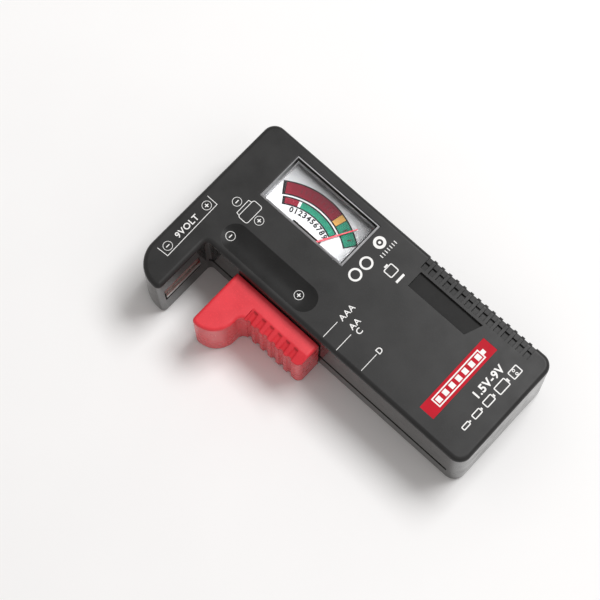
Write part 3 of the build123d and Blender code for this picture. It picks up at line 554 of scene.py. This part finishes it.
def case_marks():
    """Size lines, their letters, the 9 V bracket and the battery sign."""
    ink = Ink(FACE)
    for along, low, high in SIZE_LINES:
        ink.stroke([spot(along, low), spot(along, high)], LINE)
    for words, along, up in SIZE_LETTERS:
        ink.text(words, spot(along, up), SIZE_HEIGHT, spacing=1.12, weight=0.03)
    ink.stroke([spot(*corner) for corner in BRACKET], LINE)
    ink.text("9VOLT", spot(*BRACKET_LETTERS), BRACKET_HEIGHT, spacing=1.08, weight=0.04)
    for along, up, positive in FACE_SIGNS:
        sign(ink, spot(along, up), positive)
    rounded_outline(ink, CELL_LOW, CELL_HIGH, CELL_CORNER, LINE)
    ink.stroke([spot(*corner) for corner in CELL_CAP], LINE)
    ink.finish("face_marks", "white_ink")


TARGET = spot(48.9, 33.7)
TARGET_RADIUS, TARGET_LINE, TARGET_DOT = 1.5, 0.9, 0.45
SIDE_TICKS, SIDE_TICK_START, SIDE_TICK_PITCH = 7, 30.9, 1.0
SIDE_TICK_ENDS, SIDE_TICK_LINE = (51.6, 52.8), 0.26
BUTTON_CELLS = (spot(50.3, 21.6), spot(50.3, 26.4))
BUTTON_RADIUS, BUTTON_LINE = 1.75, 0.62
SQUARE_LOW, SQUARE_HIGH, SQUARE_CORNER = (55.6, 28.0), (58.6, 31.2), 0.4
SQUARE_CAP, SQUARE_CAP_WIDTH = ((55.5, 29.6), (54.8, 29.6)), 1.3
BAR, BAR_WIDTH = ((60.6, 27.9), (60.6, 31.3)), 0.75


def sign_cluster():
    """Plain pictograms right of the meter: a target, a scale, two button cells, a cell and a bar."""
    ink = Ink(FACE)
    ink.ring(TARGET, TARGET_RADIUS, TARGET_LINE)
    ink.disc(TARGET, TARGET_DOT)
    for i in range(SIDE_TICKS):
        up = SIDE_TICK_START + i * SIDE_TICK_PITCH
        ink.stroke([spot(along, up) for along in SIDE_TICK_ENDS], SIDE_TICK_LINE)
    for centre in BUTTON_CELLS:
        ink.ring(centre, BUTTON_RADIUS, BUTTON_LINE)
    rounded_outline(ink, SQUARE_LOW, SQUARE_HIGH, SQUARE_CORNER, PICTURE_LINE)
    ink.stroke([spot(*end) for end in SQUARE_CAP], SQUARE_CAP_WIDTH)
    ink.stroke([spot(*end) for end in BAR], BAR_WIDTH)
    ink.finish("pictograms", "white_ink")


RANGE_START, RANGE_HEIGHT = (100.6, 17.6), 2.5
ROW_ALONG, ROW_START, ROW_GAP = 103.2, 8.6, 1.9
ROW_CELLS = ((2.6, 0.55), (3.0, 0.75), (3.4, 1.0), (4.2, 1.3))
ROW_CORNER = 0.25
CAP_GAP, CAP_END, CAP_SHARE = 0.1, 0.7, 0.9
BLOCK_LENGTH, BLOCK_HALF = 3.4, 1.3
STUD_OFFSET, STUD_RADIUS, STUD_LINE = 0.65, 0.35, 0.25


def foot_marks():
    """Below the label: the voltage range, and a row of cells of growing size that ends in a block."""
    ink = Ink(FACE)
    ink.text("1.5V-9V", spot(*RANGE_START), RANGE_HEIGHT, spacing=1.08, weight=0.1)
    up = ROW_START
    for length, half in ROW_CELLS:
        top = up + length
        rounded_outline(ink, (ROW_ALONG - half, up), (ROW_ALONG + half, top), ROW_CORNER, PICTURE_LINE)
        ink.stroke([spot(ROW_ALONG, top + CAP_GAP), spot(ROW_ALONG, top + CAP_END)], half * CAP_SHARE)
        up += length + ROW_GAP
    low, high = (ROW_ALONG - BLOCK_HALF, up), (ROW_ALONG + BLOCK_HALF, up + BLOCK_LENGTH)
    rounded_outline(ink, low, high, ROW_CORNER, PICTURE_LINE)
    for side in (-1, 1):
        stud = spot(ROW_ALONG + side * STUD_OFFSET, up + BLOCK_LENGTH / 2)
        ink.ring(stud, STUD_RADIUS, STUD_LINE)
    ink.finish("foot_marks", "white_ink")


CRADLE_SIGNS = ((15.6, 5.7, False), (42.4, 6.1, True))


def cradle_marks():
    """Polarity signs on the shallow cradle that a cell lies in."""
    ink = Ink(FACE)
    for along, up, positive in CRADLE_SIGNS:
        sign(ink, spot(along, up), positive)
    ink.drape("front_housing")
    ink.finish("cradle_marks", "white_ink")


# The dial's scales: radii in millimetres, and angles in degrees from +X, from the full end to the empty end
SCALE_CENTRE = spot(29.2, 9.0)
UPPER_SCALE = (21.4, 25.0)
LOWER_SCALE = (18.3, 20.1)
UPPER_FULL, UPPER_GOOD, UPPER_WEAK, UPPER_EMPTY = 54.0, 72.5, 78.0, 123.0
LOWER_FULL, LOWER_GOOD, LOWER_POOR, LOWER_EMPTY = 67.0, 107.0, 109.5, 122.0
RULE = 0.42
FULL_BAR, EMPTY_BAR = 0.8, 2.4
DIGIT_RADIUS = 16.9
DIGIT_HEIGHT = 1.7
DIGIT_WEIGHT = 0.09
FIRST_DIGIT, DIGIT_PITCH, DIGIT_LEAD = 114.0, 5.0, 1.8
TICK_COUNT, FIRST_TICK_TURN, TICK_TURN = 9, 111.0, 3.4
TICK_RADII, TICK_LINE = (22.5, 24.0), 0.32
GOOD_TICKS, GOOD_TICK_RADII, GOOD_TICK_LINE = (58.5, 66.5), (22.6, 23.9), 0.3


def across_band(turn, radii):
    """Points on the dial at that angle and those radii."""
    return [SCALE_CENTRE + ray(turn) * r * MM for r in radii]


def dial_print():
    """The meter's two scales: coloured bands with black rules, figures below them and ticks inside."""
    inks = {name: Ink(DIAL) for name in ("red", "orange", "green", "black", "shade")}
    for colour, scale, start, end in (
        ("red", UPPER_SCALE, UPPER_WEAK, UPPER_EMPTY),
        ("orange", UPPER_SCALE, UPPER_GOOD, UPPER_WEAK),
        ("green", UPPER_SCALE, UPPER_FULL, UPPER_GOOD),
        ("red", LOWER_SCALE, LOWER_POOR, LOWER_EMPTY),
        ("green", LOWER_SCALE, LOWER_FULL, LOWER_GOOD),
    ):
        inks[colour].sector(SCALE_CENTRE, *scale, start, end)
    black = inks["black"]
    black.level += INK
    for inner, outer, full, empty in (
        (*UPPER_SCALE, UPPER_FULL, UPPER_EMPTY),
        (*LOWER_SCALE, LOWER_FULL, LOWER_EMPTY),
    ):
        start, end = full - FULL_BAR, empty + EMPTY_BAR
        black.sector(SCALE_CENTRE, inner - RULE, inner, start, end)
        black.sector(SCALE_CENTRE, outer, outer + RULE, start, end)
        black.sector(SCALE_CENTRE, inner, outer, empty, end)
        black.sector(SCALE_CENTRE, inner, outer, start, full)
    for turn in (UPPER_GOOD, UPPER_WEAK):
        black.stroke(across_band(turn, UPPER_SCALE), LINE)
    for i, figure in enumerate("0123456789"):
        turn = FIRST_DIGIT - i * DIGIT_PITCH
        start = SCALE_CENTRE + ray(turn + DIGIT_LEAD) * (DIGIT_RADIUS - DIGIT_HEIGHT / 2) * MM
        black.text(figure, start, DIGIT_HEIGHT, turn - 90.0, weight=DIGIT_WEIGHT)
    shade = inks["shade"]
    shade.level += INK
    for i in range(TICK_COUNT):
        shade.stroke(across_band(FIRST_TICK_TURN - i * TICK_TURN, TICK_RADII), TICK_LINE)
    for turn in GOOD_TICKS:
        shade.stroke(across_band(turn, GOOD_TICK_RADII), GOOD_TICK_LINE)
    for name, ink in inks.items():
        ink.finish("dial_print_" + name, "dial_" + name, slot="dial_white")


LABEL_MARGIN = 4.0 * MM
LABEL_HALF = 1.5 * MM
LABEL_LINE = 0.4
LABEL_CAP, LABEL_CAP_WIDTH = (0.2 * MM, 1.4 * MM), 1.4
CHARGE_BARS, CHARGE_SHARE, CHARGE_WIDTH = 7, 0.6, 1.6


def label_print():
    """A plain battery pictogram with charge bars, on the red label."""
    low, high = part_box("label_plate")
    ink = Ink(high.z)
    middle = (low.x + high.x) / 2
    start, end = low.y + LABEL_MARGIN, high.y - LABEL_MARGIN
    corners = [(-LABEL_HALF, start), (LABEL_HALF, start), (LABEL_HALF, end), (-LABEL_HALF, end)]
    ink.stroke([Vector((middle + x, y)) for x, y in corners], LABEL_LINE, closed=True)
    ink.stroke([Vector((middle, end + gap)) for gap in LABEL_CAP], LABEL_CAP_WIDTH)
    reach = LABEL_HALF * CHARGE_SHARE
    pitch = (end - start) / CHARGE_BARS
    for i in range(CHARGE_BARS):
        at = start + (i + 0.5) * pitch
        ink.stroke([Vector((middle - reach, at)), Vector((middle + reach, at))], CHARGE_WIDTH)
    ink.finish("label_print", "white_ink", slot="red_print")


case_marks()
sign_cluster()
foot_marks()
cradle_marks()
dial_print()
label_print()


# ---- Studio: floor, lamps and camera ---------------------------------------------------------


FLOOR_REACH = 3.0
FLOOR_GAP = 0.02 * MM
PAPER_PATCHES = 60.0
case_bottom = cad_box[0].z


def studio_floor():
    """A wide plain pale floor just below the case."""
    mesh = bpy.data.meshes.new("studio_floor")
    shape = bmesh.new()
    bmesh.ops.create_grid(shape, x_segments=8, y_segments=8, size=FLOOR_REACH)
    shape.to_mesh(mesh)
    shape.free()
    floor = bpy.data.objects.new("studio_floor", mesh)
    floor.location.z = case_bottom - FLOOR_GAP
    bpy.context.scene.collection.objects.link(floor)
    surface = Finish("studio_paper")
    patches = surface.spread(surface.noise(PAPER_PATCHES, 3.0), 0.0, 1.0)
    surface.colour(surface.mix(patches, (0.895,) * 3, (0.91,) * 3))
    surface.set(Roughness=0.9, Specular_IOR_Level=0.1)
    mesh.materials.append(surface.material)


def softbox(name, position, width, height, power):
    """A rectangular area lamp that faces the object; its place and size in metres, its power in watts."""
    data = bpy.data.lights.new(name, "AREA")
    data.shape = "RECTANGLE"
    data.size, data.size_y = width, height
    data.energy = power
    lamp = bpy.data.objects.new(name, data)
    lamp.location = position
    lamp.rotation_mode = "QUATERNION"
    lamp.rotation_quaternion = (-Vector(position)).to_track_quat("-Z", "Y")
    bpy.context.scene.collection.objects.link(lamp)


SURROUND_COLOUR = (1.0, 0.965, 0.945, 1.0)
SURROUND_STRENGTH = 0.46


def studio_light():
    """An even, slightly warm surround, a strong lamp above and behind, and a weak one high on the right."""
    world = bpy.data.worlds.new("studio")
    world.use_nodes = True
    ambient = world.node_tree.nodes["Background"]
    ambient.inputs["Color"].default_value = SURROUND_COLOUR
    ambient.inputs["Strength"].default_value = SURROUND_STRENGTH
    bpy.context.scene.world = world
    softbox("back_softbox", (0.11, 0.52, 0.98), width=0.55, height=0.42, power=9.2)
    softbox("right_softbox", (0.55, 0.05, 0.80), width=0.4, height=0.4, power=0.3)
    bpy.context.scene.view_settings.view_transform = "Standard"


# The camera's angles about the object, the point that it faces, its distance in metres and its lens
AZIMUTH, ELEVATION, ROLL = radians(42.08), radians(73.63), radians(0.763)
AIM = Vector((-13.8 * MM, -2.3 * MM, 12.0 * MM))
DISTANCE = 0.489
LENS = 98.97
SENSOR = 36.0
NEAREST, FARTHEST = 0.01, 20.0


def camera():
    """The camera, at the photographed three-quarter angle from above."""
    back = Vector((sin(AZIMUTH) * cos(ELEVATION), -cos(AZIMUTH) * cos(ELEVATION), sin(ELEVATION)))
    level = Vector((0, 0, 1)).cross(back).normalized()
    upright = back.cross(level)
    across = level * cos(ROLL) + upright * sin(ROLL)
    up = upright * cos(ROLL) - level * sin(ROLL)
    data = bpy.data.cameras.new("camera")
    data.lens, data.sensor_width = LENS, SENSOR
    data.clip_start, data.clip_end = NEAREST, FARTHEST
    made = bpy.data.objects.new("camera", data)
    facing = Matrix((across, up, back)).transposed().to_4x4()
    made.matrix_world = Matrix.Translation(AIM + back * DISTANCE) @ facing
    bpy.context.scene.collection.objects.link(made)
    bpy.context.scene.camera = made


studio_floor()
studio_light()
camera()
